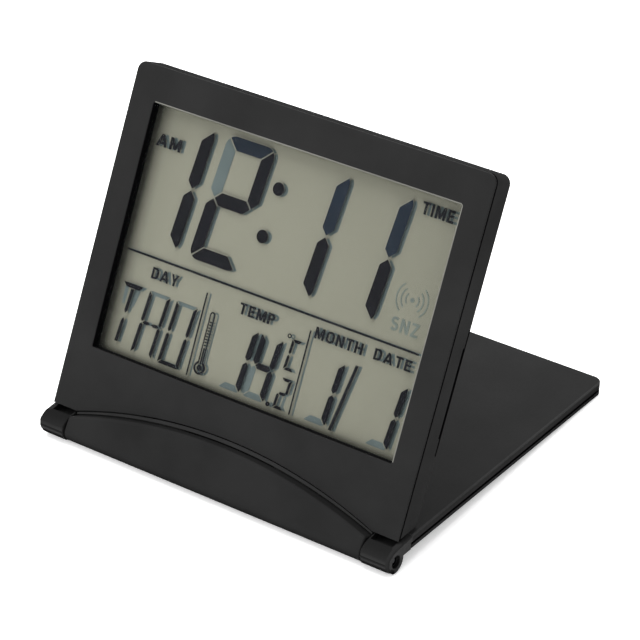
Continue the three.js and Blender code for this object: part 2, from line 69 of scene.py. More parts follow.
CASE_HALF = 44.0
CASE_BOTTOM = 3.9
CASE_TOP = 79.1
CASE_CORNER = 2.0
FACE_Y = 0.1
BACK_Y = 6.3
RIM_Y = 0.85
STOP_HEIGHT = 3.65  # the case's slanted lower edge clears the open cover by this plane
OPEN_ANGLE = radians(65.9)
WALL = 1.2
INNER_BACK_Y = 5.3
WINDOW_HALF = 38.0
WINDOW_BOTTOM = 18.15
WINDOW_TOP = 71.45

HINGE_RADIUS = 2.8
HOOD_HALF = 37.75
HOOD_CREST = 8.9
HOOD_END = 2.95
HOOD_EDGE = 0.75
HOOD_FRONT_Y = -2.2
LEDGE_CREST = 10.3
LEDGE_Y = 0.45

COVER_HALF = 44.9
COVER_REACH = 80.9
COVER_TOP = 3.35
COVER_LOW = 0.25
SHELL_LOW = 1.75
COVER_CORNER = 2.3
BLEND_Y = 5.5
NOTCH_GAP = 0.4
PIN_RADIUS = 1.0
PIN_BORE = 1.1
PIN_MOUTH = 1.4
PIN_OUTER = 44.45
EAR = HOOD_HALF + 0.3  # inner face of each knuckle
FAR = 60.0  # beyond the clock, for the ends of cutters

CELL_Z = 31.0
DOOR_RADIUS = 12.0
TAB_RADIUS = 13.3  # the battery door's two bayonet tabs
BUTTON_Z = 61.0
BUTTON_PLACES = {"mode": -27.0, "set": -9.0, "up": 9.0, "snooze": 27.0}
BUTTON_RADIUS = 2.6
SCREW_PLACES = {
    "lower_left": (-40.5, 10.4),
    "lower_right": (40.5, 10.4),
    "upper_left": (-40.5, 75.6),
    "upper_right": (40.5, 75.6),
}
BUZZER = (27.0, 33.0)

MARK_Y = 2.1  # the display's segments, just behind the lens
PANEL_Y = 2.6  # the pale field behind them
SLANT = 0.085  # lean of the digits
DIGIT_Z = 56.4  # middle height of the large digits
SMALL_Z = 26.55  # and of the small ones

# ------ local frames

joints = {joint["name"]: joint for joint in frame["joints"]}
mounts = {mount["name"]: mount for mount in frame["record"]["mounts"]}
HINGE = Vector(joints["cover_hinge"]["pos_m"])


def placed(y_axis, z_axis):
    """Millimetres in a local frame at the hinge axis to metres in the row frame."""
    x_axis = Vector((1, 0, 0))
    turn = Matrix((x_axis, y_axis, z_axis)).transposed().to_4x4()
    return Matrix.Translation(HINGE) @ turn @ Matrix.Scale(0.001, 4)


clock_y = -Vector(joints["battery_door_twist"]["axis"])
cover_z = -Vector(mounts["cover_inner_face"]["axis"])
CLOCK = placed(clock_y, Vector((1, 0, 0)).cross(clock_y))
COVER = placed(cover_z.cross(Vector((1, 0, 0))), cover_z)

# ------ outlines


def circle_over(crest, end, half):
    """Radius and centre height of the circle through a crest and two lower ends."""
    rise = crest - end
    radius = (half * half + rise * rise) / (2 * rise)
    return radius, crest - radius


HOOD_ARC = circle_over(HOOD_CREST, HOOD_END, HOOD_HALF)
LEDGE_ARC = circle_over(LEDGE_CREST, CASE_BOTTOM, HOOD_HALF)


def height_on(arc, x, offset=0.0):
    return arc[1] + sqrt((arc[0] + offset) ** 2 - x * x)


def reach_on(arc, height, offset=0.0):
    return sqrt((arc[0] + offset) ** 2 - (height - arc[1]) ** 2)


def turn_points(u, v, radius, start, end, steps):
    """Points round part of a circle, angles in degrees."""
    angles = [radians(start + (end - start) * step / steps) for step in range(steps + 1)]
    return [(u + radius * cos(angle), v + radius * sin(angle)) for angle in angles]


def crest_points(arc, half, offset=0.0):
    """The arc's crest from x = -half to x = half."""
    steps = 72
    places = [-half + 2 * half * step / steps for step in range(steps + 1)]
    return [(x, height_on(arc, x, offset)) for x in places]


def top_corners(half, top, radius, steps=10):
    right = turn_points(half - radius, top - radius, radius, 0, 90, steps)
    return right + turn_points(-half + radius, top - radius, radius, 90, 180, steps)


def rectangle(left, right, low, high):
    return [(left, low), (right, low), (right, high), (left, high)]


def soft_rectangle(left, right, low, high, radius, steps=5):
    corners = rectangle(left + radius, right - radius, low + radius, high - radius)
    points = []
    for (u, v), start in zip(corners[1:] + corners[:1], (-90, 0, 90, 180)):
        points += turn_points(u, v, radius, start, start + 90, steps)
    return points


def circle(u, v, radius, sides):
    return turn_points(u, v, radius, 0, 360 - 360 / sides, sides - 1)


def face_outline():
    """The bezel's outline, with its curved lower edge."""
    reach = reach_on(LEDGE_ARC, CASE_BOTTOM)
    return [
        (-CASE_HALF, CASE_BOTTOM),
        *crest_points(LEDGE_ARC, reach),
        (CASE_HALF, CASE_BOTTOM),
        *top_corners(CASE_HALF, CASE_TOP, CASE_CORNER),
    ]


def case_outline(bottom):
    corners = top_corners(CASE_HALF, CASE_TOP, CASE_CORNER)
    return [(-CASE_HALF, bottom), (CASE_HALF, bottom), *corners]


def stop_height(y, clearance=0.0):
    """How low the case may reach at a depth without touching the open cover."""
    return (STOP_HEIGHT + clearance + y * cos(OPEN_ANGLE)) / sin(OPEN_ANGLE)


def shrunk(points, distance):
    """A polygon's outline moved inwards, corner by corner."""
    if not distance:
        return list(points)
    area = sum(
        p[0] * q[1] - q[0] * p[1] for p, q in zip(points, points[1:] + points[:1])
    )
    sign = 1 if area > 0 else -1
    moved = []
    for i, point in enumerate(points):
        before = Vector(point) - Vector(points[i - 1])
        after = Vector(points[(i + 1) % len(points)]) - Vector(point)
        first = Vector((-before.y, before.x)).normalized() * sign
        second = Vector((-after.y, after.x)).normalized() * sign
        shift = (first + second) / (1 + first.dot(second))
        moved.append((point[0] + shift.x * distance, point[1] + shift.y * distance))
    return moved


# ------ solids


def in_clock(u, v, level):
    return (u, level, v)


def in_cover(u, v, level):
    return (u, v, level)


def along_x(u, v, level):
    return (level, u, v)


def stack(loops):
    """A closed solid through loops of equal point counts, with flat ends."""
    bm = bmesh.new()
    rows = [[bm.verts.new(point) for point in loop] for loop in loops]
    count = len(rows[0])
    for lower, upper in zip(rows, rows[1:]):
        for i in range(count):
            j = (i + 1) % count
            bm.faces.new((lower[i], lower[j], upper[j], upper[i]))
    bm.faces.new(rows[0][::-1])
    bm.faces.new(rows[-1])
    bmesh.ops.recalc_face_normals(bm, faces=bm.faces)
    return bm


def layered(layers, place):
    """A closed solid through outlines of equal point counts, given as (level, outline)."""
    return stack([[place(u, v, level) for u, v in outline] for level, outline in layers])


def rounding(low, high, round_low, round_high, steps=4):
    """Levels of a slab and the inset of its outline at each, for rounded edges."""
    levels = []
    quarter = pi / 2
    for step in range(steps + 1 if round_low else 1):
        angle = quarter * step / steps
        levels.append((low + round_low * (1 - cos(angle)), round_low * (1 - sin(angle))))
    for step in range(steps + 1 if round_high else 1):
        angle = quarter * step / steps
        levels.append((high - round_high * (1 - sin(angle)), round_high * (1 - cos(angle))))
    return levels


def slab(outline, low, high, place, round_low=0.0, round_high=0.0):
    levels = rounding(low, high, round_low, round_high)
    return layered([(level, shrunk(outline, inset)) for level, inset in levels], place)


def turned(profile, sides, place):
    """A turned solid through rings of (radius, level)."""
    angles = [2 * pi * side / sides for side in range(sides)]
    rings = []
    for radius, level in profile:
        rings.append((level, [(radius * cos(a), radius * sin(a)) for a in angles]))
    return layered(rings, place)


def lathe(x, z, profile, sides=64):
    """A turned solid whose axis points to the clock's back: profile of (radius, depth)."""
    return turned(profile, sides, lambda u, v, level: (x + u, level, z + v))


def spindle(profile, sides):
    """A turned solid on the hinge axis: profile of (radius, x)."""
    return turned(profile, sides, along_x)


def added(name, data):
    """A new object in the scene."""
    item = bpy.data.objects.new(name, data)
    scene.collection.objects.link(item)
    return item


def mesh_of(bm, name="part"):
    mesh = bpy.data.meshes.new(name)
    bm.to_mesh(mesh)
    bm.free()
    return mesh


def combine(base, operation, *others):
    """base with each of the other solids added, taken away, or kept in common."""
    body = added("base", mesh_of(base))
    tools = [added("tool", mesh_of(other)) for other in others]
    for tool in tools:
        step = body.modifiers.new("step", "BOOLEAN")
        step.operation = operation
        step.solver = "EXACT"
        step.object = tool
    graph = bpy.context.evaluated_depsgraph_get()
    result = bmesh.new()
    made = body.evaluated_get(graph).to_mesh()
    result.from_mesh(made)
    body.evaluated_get(graph).to_mesh_clear()
    for item in [body, *tools]:
        mesh = item.data
        bpy.data.objects.remove(item)
        bpy.data.meshes.remove(mesh)
    return result


def finished(name, bm, material, nodes=(), body="clock", sharp=32.0):
    """The solid as a piece of the object: placed, smooth-shaded, and riding on its body."""
    space = COVER if body == "cover" else CLOCK
    bmesh.ops.remove_doubles(bm, verts=bm.verts, dist=0.0004)
    bmesh.ops.dissolve_degenerate(bm, edges=bm.edges, dist=0.0003)
    loose = [vert for vert in bm.verts if not vert.link_faces]
    bmesh.ops.delete(bm, geom=loose, context="VERTS")
    bmesh.ops.transform(bm, matrix=space, verts=bm.verts)
    mesh = mesh_of(bm, name)
    mesh.shade_smooth()
    mesh.set_sharp_from_angle(angle=radians(sharp))
    piece = added(name, mesh)
    mesh.materials.append(material)
    normals = piece.modifiers.new("normals", "WEIGHTED_NORMAL")
    normals.keep_sharp = True
    normals.weight = 80
    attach(piece, body)
    if nodes:
        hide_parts(*nodes)
    return piece


ANY = (-100, 100)


def box(x=ANY, y=ANY, z=ANY, half=ANY, reach=ANY):
    """A test for places in a box; half is the distance from the middle, reach that from the hinge."""

    def holds(place):
        values = (place.x, place.y, place.z, abs(place.x), hypot(place.y, place.z))
        ranges = (x, y, z, half, reach)
        return all(low < value < high for value, (low, high) in zip(values, ranges))

    return holds


def above(low):
    return (low, ANY[1])


def below(high):
    return (ANY[0], high)


def repaint(piece, space, material, *boxes):
    """Another material on the faces whose middles are in one of the boxes of a local frame."""
    piece.data.materials.append(material)
    index = len(piece.data.materials) - 1
    local = space.inverted()
    for face in piece.data.polygons:
        if any(holds(local @ face.center) for holds in boxes):
            face.material_index = index


# ------ materials


def linear(shade):
    """A colour given as sRGB bytes, or as one byte for a grey."""
    values = []
    for value in (shade,) * 3 if isinstance(shade, int) else shade:
        part = value / 255
        values.append(part / 12.92 if part <= 0.04045 else ((part + 0.055) / 1.055) ** 2.4)
    return (*values, 1.0)


def scaled(colour, factor):
    return tuple(min(channel * factor, 1) for channel in colour[:3]) + (1.0,)


def put(node, **values):
    """Values for a node's inputs, by their names with _ for a space."""
    for name, value in values.items():
        node.inputs[name.replace("_", " ")].default_value = value


class Look:
    """A Principled material with procedural detail in the piece's own coordinates."""

    def __init__(self, name, roughness, specular=0.5, metallic=0.0):
        self.material = bpy.data.materials.new(name)
        self.material.use_nodes = True
        self.tree = self.material.node_tree
        self.shader = self.tree.nodes["Principled BSDF"]
        put(self.shader, Roughness=roughness, Specular_IOR_Level=specular, Metallic=metallic)
        self.coordinates = self.node("TexCoord")

    def node(self, kind):
        return self.tree.nodes.new("ShaderNode" + kind)

    def link(self, source, target):
        self.tree.links.new(source, target)

    def noise(self, size_mm, detail, roughness=0.5, stretch=(1, 1, 1)):
        """A noise whose features are about size_mm across."""
        mapping = self.node("Mapping")
        put(mapping, Scale=stretch)
        texture = self.node("TexNoise")
        put(texture, Scale=1000 / size_mm, Detail=detail, Roughness=roughness)
        self.link(self.coordinates.outputs["Object"], mapping.inputs["Vector"])
        self.link(mapping.outputs["Vector"], texture.inputs["Vector"])
        return texture.outputs["Fac"]

    def ramp(self, source, stops):
        node = self.node("ValToRGB")
        elements = node.color_ramp.elements
        while len(elements) < len(stops):
            elements.new(0.5)
        for element, (place, value) in zip(elements, stops):
            element.position = place
            element.color = value if isinstance(value, tuple) else (value, value, value, 1)
        self.link(source, node.inputs["Fac"])
        return node.outputs["Color"]

    def colour(self, source):
        self.link(source, self.shader.inputs["Base Color"])

    def rough(self, source):
        self.link(source, self.shader.inputs["Roughness"])

    def bump(self, source, height_mm, strength=1.0):
        node = self.node("Bump")
        put(node, Strength=strength, Distance=height_mm / 1000)
        normal = self.shader.inputs["Normal"]
        if normal.is_linked:
            self.link(normal.links[0].from_socket, node.inputs["Normal"])
        self.link(source, node.inputs["Height"])
        self.link(node.outputs["Normal"], normal)

    def height(self, low_mm, high_mm, axis="Z"):
        """0 at one height and 1 at another, in the row frame at rest."""
        split = self.node("SeparateXYZ")
        self.link(self.coordinates.outputs["Object"], split.inputs["Vector"])
        scale = self.node("MapRange")
        put(scale, From_Min=low_mm / 1000, From_Max=high_mm / 1000)
        self.link(split.outputs[axis], scale.inputs["Value"])
        return scale.outputs["Result"]

    def multiplied(self, first, second):
        node = self.node("Mix")
        node.data_type = "RGBA"
        node.blend_type = "MULTIPLY"
        put(node, Factor=1.0)
        self.link(first, node.inputs[6])  # the colour socket A, and below it B
        self.link(second, node.inputs[7])
        return node.outputs[2]  # the colour result


def plastic(name, shade, roughness, grain_mm=0.22, grain_height=0.004, specular=0.4):
    """Moulded plastic: a fine spark-eroded grain, with slow changes of gloss and colour, and painted shade
    darkening it just above the table.
    """
    look = Look(name, roughness, specular)
    base = linear(shade)
    tone = look.ramp(look.noise(14, 4), [(0.35, scaled(base, 0.88)), (0.65, scaled(base, 1.12))])
    # painted shade: darker just above the table
    foot = look.ramp(look.height(0.3, 3.0), [(0.0, 0.1), (0.4, 0.5), (1.0, 1.0)])
    look.colour(look.multiplied(tone, foot))
    fine = look.noise(0.6, 5, 0.6)
    look.rough(look.ramp(fine, [(0.3, roughness - 0.04), (0.7, roughness + 0.05)]))
    look.bump(look.noise(grain_mm, 3, 0.6), grain_height)
    look.bump(look.noise(9, 2), 0.012, 0.6)
    return look.material


def metal(name, shade, roughness, stretch=(1, 1, 1)):
    """Plated or turned metal with faint brushing and tarnish."""
    look = Look(name, roughness, metallic=1.0)
    base = linear(shade)
    look.colour(look.ramp(look.noise(3, 4), [(0.3, scaled(base, 0.8)), (0.7, base)]))
    brushing = look.noise(0.4, 3, 0.6, stretch)
    look.rough(look.ramp(brushing, [(0.3, roughness - 0.06), (0.7, roughness + 0.08)]))
    look.bump(look.noise(0.15, 2, 0.5, stretch), 0.002)
    return look.material


def clear(name, colour, alpha, roughness):
    """A clear film or window: a plain Alpha keeps it see-through in the exported model."""
    look = Look(name, roughness)
    put(look.shader, Alpha=alpha)
    look.colour(look.ramp(look.noise(20, 2), [(0.3, colour), (0.7, scaled(colour, 0.94))]))
    return look.material


def ink(name, low, high, roughness=0.55):
    """Liquid crystal or print: flat colour that drifts slightly across the display."""
    look = Look(name, roughness, 0.05)
    look.colour(look.ramp(look.noise(6, 2), [(0.35, linear(low)), (0.65, linear(high))]))
    look.bump(look.noise(0.3, 2), 0.001)
    return look.material


BLACK = plastic("black_moulded_plastic", 31, 0.52, specular=0.05)
HOOD_BLACK = plastic("hood_moulded_plastic", 34, 0.52, specular=0.0)
CASE_BLACK = plastic("case_moulded_plastic", 39, 0.6, specular=0.0)
COVER_BLACK = plastic("cover_moulded_plastic", 29, 0.45, specular=0.05)
# the lining's own plastic, also painted on the hood's upper wall as shade
LINING_AND_SHADE_BLACK = plastic("lining_and_painted_shade_plastic", 26, 0.6, specular=0.03)
# plastics painted lighter on bevels, rounded edges and the lip as highlights
DIM_EDGE_HIGHLIGHT = plastic("dim_edge_highlight_plastic", 38, 0.45, specular=0.06)
BRIGHT_EDGE_HIGHLIGHT = plastic("bright_edge_highlight_plastic", 46, 0.45, specular=0.06)
# pale plastic painted on the window's right and top bevels as a highlight
WINDOW_EDGE_HIGHLIGHT = plastic("window_edge_painted_highlight", (104, 104, 98), 0.4, specular=0.2)
DARK = plastic("dark_inner_plastic", (24, 24, 25), 0.6, 0.3, 0.006, 0.12)
# near-black plastic painted into seams, slots, pockets and the window's walls as shade
SHADE_BLACK = plastic("painted_shade_black", (6, 6, 7), 0.8, 0.4, 0.002, 0.03)
DOOR_LOOK = plastic("door_plastic", (35, 35, 36), 0.52, 0.18, 0.006, 0.12)
BUTTON_LOOK = plastic("button_plastic", (44, 44, 45), 0.38, 0.3, 0.003, 0.2)
LENS = clear("clear_window", (0.1, 0.11, 0.105, 1.0), 0.02, 0.04)
SCREW_STEEL = metal("zinc_screw_steel", (150, 152, 156), 0.34)
# steel painted dark as the shade inside the knuckles' bores
SHADED_PIN_STEEL = metal("pin_steel_painted_dark", (50, 50, 52), 0.5, (0.2, 1, 1))


def panel_look():
    """The reflector seen through the glass: pale greenish grey, with painted shade from the window's frame dimming
    it towards its edges.
    """
    look = Look("display_field", 0.6, 0.1)
    tones = [(0.3, linear((115, 115, 102))), (0.7, linear((118, 118, 105)))]
    base = look.ramp(look.noise(30, 3), tones)
    # painted shade from the frame: steep beside the left wall, slight at the right
    across = look.ramp(look.height(-WINDOW_HALF, WINDOW_HALF, "X"), [
        (0.0, 0.13), (0.008, 0.13), (0.014, 0.2), (0.022, 0.42), (0.033, 0.62), (0.06, 0.92),
        (0.13, 1.0), (0.5, 1.0), (1.0, 0.88),
    ])
    # painted shade from the frame: steep beside the lower wall, slight at the top
    upwards = look.ramp(look.height(18, 67), [
        (0.0, 0.2), (0.003, 0.3), (0.008, 0.46), (0.0125, 0.62), (0.02, 0.83), (0.03, 1.0),
        (0.6, 1.0), (1.0, 0.95),
    ])
    look.colour(look.multiplied(look.multiplied(base, across), upwards))
    look.bump(look.noise(6, 2), 0.004)
    return look.material


PANEL = panel_look()
LIT = ink("lit_segments", (10, 10, 15), (12, 12, 18))
BLUE = ink("blue_lit_segments", (21, 28, 37), (25, 33, 43))
HALO = ink("segment_edges", (124, 124, 112), (127, 127, 115))
PRINT = ink("printed_legend", (16, 17, 21), (19, 20, 25))
GHOST = ink("faint_segments", (78, 88, 88), (83, 93, 92))
FAINT = ink("faintest_marks", (88, 96, 91), (92, 100, 94))
SHADOW = ink("segment_shadow", (74, 85, 85), (79, 89, 89), 0.7)

# ------ the front bezel


def front_bezel():
    rim_back = 0.38
    inner_back = 1.3
    plate = slab(face_outline(), FACE_Y, rim_back, in_clock, 0.16, 0.06)
    backing = slab(shrunk(face_outline(), WALL + 0.3), rim_back - 0.1, inner_back, in_clock)
    window = []
    # depth of the window's bevel, and how much wider it is there
    for level, grow in (
        (-0.9, 0.9), (FACE_Y - 0.02, 0.34), (FACE_Y + 0.09, 0.05), (FACE_Y + 0.18, 0.0), (2.0, 0.0)
    ):
        sides = (-WINDOW_HALF - grow, WINDOW_HALF + grow)
        outline = soft_rectangle(*sides, WINDOW_BOTTOM - grow, WINDOW_TOP + grow, 0.35 + grow)
        window.append((level, outline))
    boss = [(1.7, 1.2), (1.7, 5.15)]
    bosses = [lathe(x, z, boss, 32) for x, z in SCREW_PLACES.values()]
    whole = combine(plate, "UNION", backing, *bosses)
    return combine(whole, "DIFFERENCE", layered(window, in_clock))


bezel = finished("bezel_moulding", front_bezel(), BLACK, ["front_bezel"])
opening = (-WINDOW_HALF - 0.1, WINDOW_HALF + 0.1)
window_wall = box(opening, above(FACE_Y + 0.18), (WINDOW_BOTTOM - 0.1, WINDOW_TOP + 0.1))
# painted shade: the window's inner walls near black
repaint(bezel, CLOCK, SHADE_BLACK, window_wall)
# painted shade in the seam behind the bezel's rim, along its sides and top
seam_depth = above(0.36)
repaint(bezel, CLOCK, SHADE_BLACK, box(y=seam_depth, half=above(41)), box(y=seam_depth, z=above(74)))
bevel = (FACE_Y, FACE_Y + 0.16)
# painted highlight on the bezel's lower and top bevels
repaint(bezel, CLOCK, DIM_EDGE_HIGHLIGHT, box(y=bevel, z=below(16)), box(y=bevel, z=above(CASE_TOP - 0.5)))
window_bevel = (FACE_Y, FACE_Y + 0.1)
right_edge = box((WINDOW_HALF, WINDOW_HALF + 0.4), window_bevel, (30, WINDOW_TOP + 0.4))
top_edge = box((-8, WINDOW_HALF + 0.4), window_bevel, (WINDOW_TOP, WINDOW_TOP + 0.4))
# painted highlight on the window's right and top bevels
repaint(bezel, CLOCK, WINDOW_EDGE_HIGHLIGHT, right_edge, top_edge)  # these catch the light

# ------ the rear case with its hood


def hull(rounds, angle):
    """The outermost of several rounds (y, z, radius) in a direction, and that direction."""
    y, z = cos(angle), sin(angle)
    return max(rounds, key=lambda item: item[0] * y + item[1] * z + item[2]), y, z


def hood_section(x, shrink):
    """The outline round the barrel, its flat front, the hood's upper edge and its wall's foot."""
    height = height_on(HOOD_ARC, x)
    rounds = [
        (0.48, -0.2, 2.4 - shrink),
        (-1.05, -0.35, 1.45 - shrink),
        (0.0, 0.0, 2.5 - shrink),
        (HOOD_FRONT_Y + HOOD_EDGE, height - HOOD_EDGE - 0.12, HOOD_EDGE - shrink),
        (LEDGE_Y + 0.5, height - 0.45, 0.45 - shrink),
    ]
    sides = 128
    points = []
    for side in range(sides):
        outer, y, z = hull(rounds, 2 * pi * (side + 0.5) / sides)
        points.append((outer[0] + outer[2] * y, outer[1] + outer[2] * z))
    return points


def hood():
    """The barrel and the curved hood over it, bored for the two pins."""
    steps = 72
    half = HOOD_HALF - 0.5
    rounded_end = rounding(half, HOOD_HALF, 0.0, 0.35, 5)
    stations = [(-x, shrink) for x, shrink in rounded_end[::-1]]
    for step in range(1, steps):
        stations.append((half * sin(pi * (step / steps - 0.5)), 0.0))
    stations += rounded_end
    body = layered([(x, hood_section(x, shrink)) for x, shrink in stations], along_x)
    bores = [spindle([(PIN_BORE, side * 33.0), (PIN_BORE, side * FAR)], 40) for side in (-1, 1)]
    return combine(body, "DIFFERENCE", *bores)


def ledge_outline(offset, low_arc=0.26):
    """The band between the hood's wall and the arc of the bezel's lower edge, both offset."""
    lowest = 3.4
    reach = min(HOOD_HALF, reach_on(LEDGE_ARC, lowest, offset))
    return crest_points(HOOD_ARC, reach, low_arc) + crest_points(LEDGE_ARC, reach, offset)[::-1]


def case_tub():
    """The open box of the rear case, with rounded back edges and a slanted lower edge."""
    outside = []
    for level, inset in rounding(RIM_Y, BACK_Y, 0.1, 0.25, 5):
        outside.append((level, shrunk(case_outline(stop_height(level)), inset)))
    front_cavity = slab(shrunk(face_outline(), WALL), RIM_Y - 1, 1.7, in_clock)
    inside = []
    for level in (1.6, INNER_BACK_Y):
        inside.append((level, shrunk(case_outline(stop_height(level, WALL) - WALL), WALL)))
    deep = layered(inside, in_clock)
    return combine(layered(outside, in_clock), "DIFFERENCE", front_cavity, deep)


def flared(x, z, radius, chamfer, sides=64):
    """A cutter for a round hole with a chamfered mouth in the back wall."""
    wide = radius + chamfer * 2
    profile = [(radius, INNER_BACK_Y - 1), (radius, BACK_Y - chamfer), (wide, BACK_Y + chamfer)]
    return lathe(x, z, [*profile, (wide, BACK_Y + 1)], sides)


def sector(x, z, radius, middle, span):
    return [(x, z), *turn_points(x, z, radius, middle - span / 2, middle + span / 2, 14)]


def rear_case():
    """The tub with its lip and rib, less every opening in its sides and back."""
    lip = slab(ledge_outline(-0.25), LEDGE_Y, 0.95, in_clock, 0.1)
    rib = slab(ledge_outline(WALL, -1.0), RIM_Y, 1.6, in_clock)
    whole = combine(case_tub(), "UNION", rib, lip)
    front, back, low = 3.2, 9, 3.0
    slant = [(front, low), (front, stop_height(front)), (back, stop_height(back)), (back, low)]
    near_cover = slab(slant, -FAR, FAR, along_x)
    cutters = []
    for side in (-1, 1):
        # a side slot and a longer, narrower one along it, with backs that don't quite coincide
        for bottom, top, slot_front, slot_back in ((25.1, 43.9, 5.2, 6.14), (21.4, 47.9, 5.62, 6.13)):
            slot = rectangle(*sorted((side * (CASE_HALF - 0.7), side * 46)), bottom, top)
            cutters.append(slab(slot, slot_front, slot_back, in_clock))
    for angle in (45, 225):
        outline = sector(0, CELL_Z, TAB_RADIUS + 0.3, angle, 38)
        cutters.append(slab(outline, INNER_BACK_Y - 1, BACK_Y + 1, in_clock))
    cutters += [flared(x, BUTTON_Z, BUTTON_RADIUS + 0.25, 0.18) for x in BUTTON_PLACES.values()]
    head = [(1.05, INNER_BACK_Y - 1), (1.05, BACK_Y - 0.65), (1.95, BACK_Y - 0.65)]
    head += [(1.95, BACK_Y - 0.12), (2.2, BACK_Y + 0.13), (2.2, BACK_Y + 1)]
    cutters += [lathe(x, z, head, 40) for x, z in SCREW_PLACES.values()]
    cutters.append(flared(*BUZZER, 0.6, 0.1, 24))
    for hole in range(6):
        angle = radians(60 * hole)
        x = BUZZER[0] + 2.4 * cos(angle)
        z = BUZZER[1] + 2.4 * sin(angle)
        cutters.append(flared(x, z, 0.6, 0.1, 24))
    door = flared(0, CELL_Z, DOOR_RADIUS + 0.3, 0.15, 96)
    return combine(whole, "DIFFERENCE", near_cover, door, *cutters)


case = finished("case_moulding", rear_case(), CASE_BLACK, ["rear_case"])
# painted shade in the side slots
repaint(case, CLOCK, SHADE_BLACK, box(half=(43.2, 43.95), y=(5.19, 6.15), z=(21.3, 48)))
# painted shade in the seam between the bezel and the case's rim
seam = box(y=below(RIM_Y + 0.06), z=above(8))
top_seam = box(y=below(RIM_Y + 0.11), z=above(CASE_TOP - 0.5))
repaint(case, CLOCK, SHADE_BLACK, seam, top_seam)
# painted highlight: the lip under the bezel's lower edge made lighter
repaint(case, CLOCK, BRIGHT_EDGE_HIGHLIGHT, box(y=below(0.6), half=below(HOOD_HALF)))  # the lip
barrel = finished("hinge_hood", hood(), HOOD_BLACK, ["rear_case"], sharp=50.0)
# painted shade on the hood's upper wall
repaint(barrel, CLOCK, LINING_AND_SHADE_BLACK, box(y=above(HOOD_FRONT_Y + HOOD_EDGE), z=above(2.2)))

# ------ the cover


def cover_outline(margin, front):
    """The cover from above, with the curved notch in its front edge."""
    half = COVER_HALF - margin
    gap = NOTCH_GAP + margin
    notch = crest_points(HOOD_ARC, min(EAR, reach_on(HOOD_ARC, front, gap)), gap)
    return [
        (-half, front),
        (notch[0][0] - 0.02, front),
        *notch,
        (notch[-1][0] + 0.02, front),
        (half, front),
        *top_corners(half, COVER_REACH - margin, COVER_CORNER - margin, 14),
    ]


def slope_start():
    """Where the straight slope from the cover's top touches the knuckle's circle."""
    to_top = hypot(BLEND_Y, COVER_TOP)
    return degrees(atan2(COVER_TOP, BLEND_Y) + acos(HINGE_RADIUS / to_top))


def knuckle_section(inset, lower_inset):
    """Knuckle and web from the side, with a mould line round the middle of the front."""
    top = COVER_TOP - inset
    root = BLEND_Y - 0.3
    rounds = [(0.0, 0.0, HINGE_RADIUS), (-1.6, 0.95, 1.15), (-1.6, -0.8, 1.15)]
    last = 360 + degrees(asin(COVER_LOW / HINGE_RADIUS))
    start = slope_start()
    points = []
    steps = 96
    line_start, line_end, foot_end = 183, 190, 255  # degrees, down the front
    for step in range(steps + 1):
        angle = start + (last - start) * step / steps
        outer, y, z = hull(rounds, radians(angle))
        depth = inset
        if line_start <= angle < line_end:
            depth = inset + 0.22
        elif line_end <= angle < foot_end:
            depth = lower_inset
        points.append((outer[0] + (outer[2] - depth) * y, outer[1] + (outer[2] - depth) * z))
    plate = [(root, COVER_LOW), (root, SHELL_LOW + 0.05), (root + 1.4, SHELL_LOW + 0.05)]
    return plate + [(root + 1.4, top - 0.003), (BLEND_Y, top - 0.003)] + points


def knuckle_look():
    """Moulded plastic with painted light and shade: a lit band, a painted dark line at the mould line and a
    painted dark foot.
    """
    look = Look("knuckle_painted_light_and_shade", 0.45, 0.0)
    tone = look.ramp(look.noise(12, 3), [(0.35, linear(37)), (0.65, linear(39))])
    # painted light and shade up the knuckle, from the table
    painted_light_and_shade = look.ramp(look.height(0.3, 5.3), [
        (0.0, 0.1), (0.25, 0.3), (0.42, 0.65), (0.56, 0.8), (0.57, 0.35), (0.6, 0.35), (0.61, 1.4),
        (0.65, 1.15), (0.7, 1.15), (0.8, 0.75), (1.0, 0.55),
    ])
    look.colour(look.multiplied(tone, painted_light_and_shade))
    look.bump(look.noise(0.6, 5, 0.6), 0.01)
    return look.material


KNUCKLE = knuckle_look()


def knuckle(side):
    """One hinge knuckle with rounded ends, hollowed behind its barrel, and bored for the pin."""
    end = COVER_HALF if side > 0 else COVER_HALF - 0.6
    finer = rounding(end - 1.0, end, 0.0, 1.0, 8)
    levels = sorted({x for x, _ in rounding(EAR, end, 0.12, 0.38, 6) + finer})

    def inset_at(x, radius):
        near = max(radius - (end - x), 0.0)
        return radius - sqrt(max(radius * radius - near * near, 0.0))

    sections = []
    for x in levels:
        start = 0.12 - (x - EAR) if x < EAR + 0.12 else 0.0
        upper = max(inset_at(x, 0.38), start)
        lower = 0.1 + max(inset_at(x, 1.0), start)
        sections.append((side * x, knuckle_section(upper, lower)))
    low, high = sorted((side * (EAR + 0.3), side * (end - 1.25)))
    pocket = [(1.2, 1.75), (4.9, 1.75), (4.9, 5.0), (0.3, 5.0), (0.3, 2.7), (0.8, 2.4)]
    hollow = slab(pocket, low, high, along_x)
    mouth = [(PIN_BORE, 30.0), (PIN_BORE, end - 0.7), (PIN_MOUTH, end - 0.7), (PIN_MOUTH, end - 0.1)]
    mouth += [(PIN_MOUTH + 0.2, end + 0.1), (PIN_MOUTH + 0.2, FAR)]
    bore = spindle([(radius, side * x) for radius, x in mouth], 48)
    return combine(layered(sections, along_x), "DIFFERENCE", bore, hollow)


